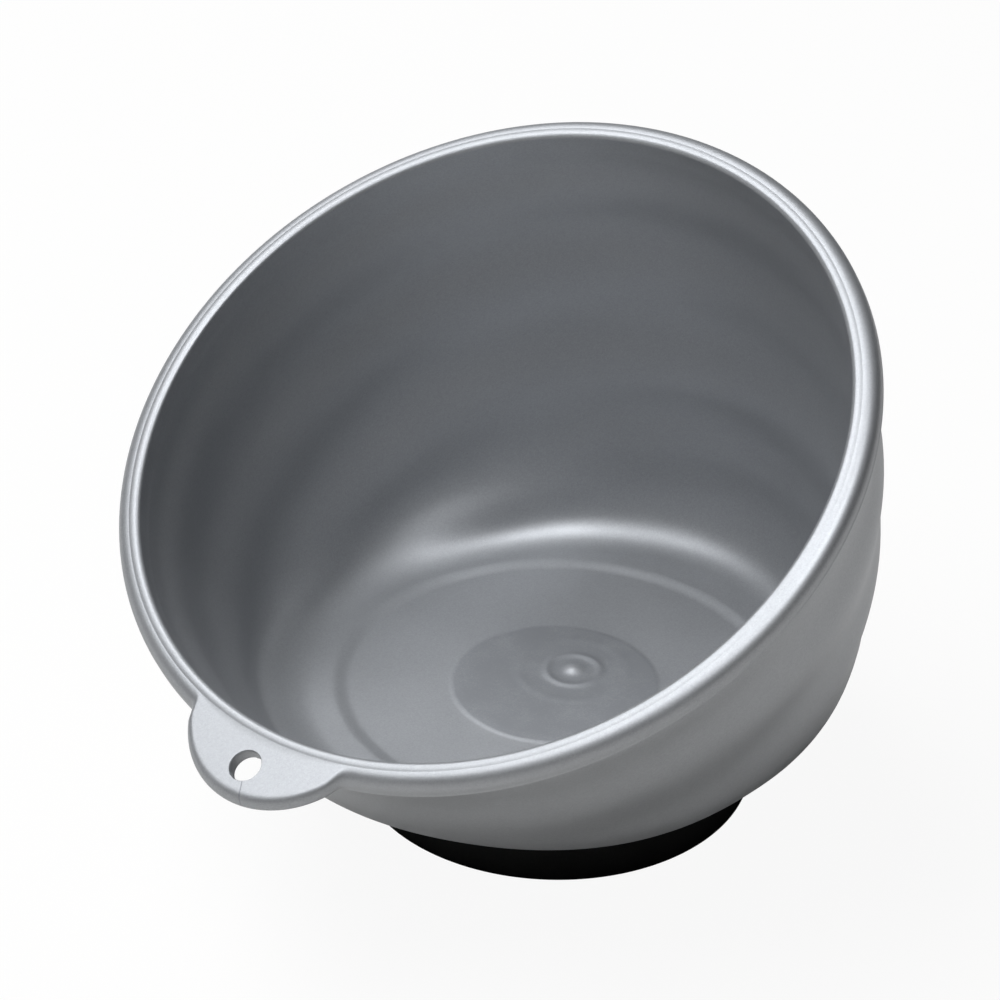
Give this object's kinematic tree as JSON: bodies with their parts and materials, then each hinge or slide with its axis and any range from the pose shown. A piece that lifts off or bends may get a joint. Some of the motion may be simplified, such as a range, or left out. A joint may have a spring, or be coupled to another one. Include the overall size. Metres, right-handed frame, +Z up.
{
  "type": "magnetic_parts_tray",
  "caption": "Magnetic parts tray: a deep silver-grey plastic bowl with a slanted round mouth and a hanging tab, on a low round black magnetic base",
  "frame": {"origin": "centre of the round face that the tray rests on, or that is held to a steel surface", "axes": "Z points up from the resting face, -Y points to the low side of the mouth with the hanging tab, and X runs across the tray; the plane X = 0 is its mirror plane"},
  "size_m": [0.15, 0.1594, 0.1249],
  "materials": {
    "bowl_plastic": "moulded plastic with fine metallic flake, satin",
    "base_plastic": "moulded black plastic, matte",
    "pad_rubber": "fine-grained black rubber sheet",
    "ferrite": "pressed and ground ferrite, dull",
    "zinc_steel": "bright zinc plate",
    "foam": "closed-cell foam"
  },
  "bodies": {
    "root": {"bowl": "bowl_plastic", "base_cup": "base_plastic", "base_pad": "pad_rubber", "ring_magnet": "ferrite", "backing_plate": "zinc_steel", "foam_ring": "foam", "washer": "zinc_steel", "screw": "zinc_steel"}
  },
  "joints": []
}
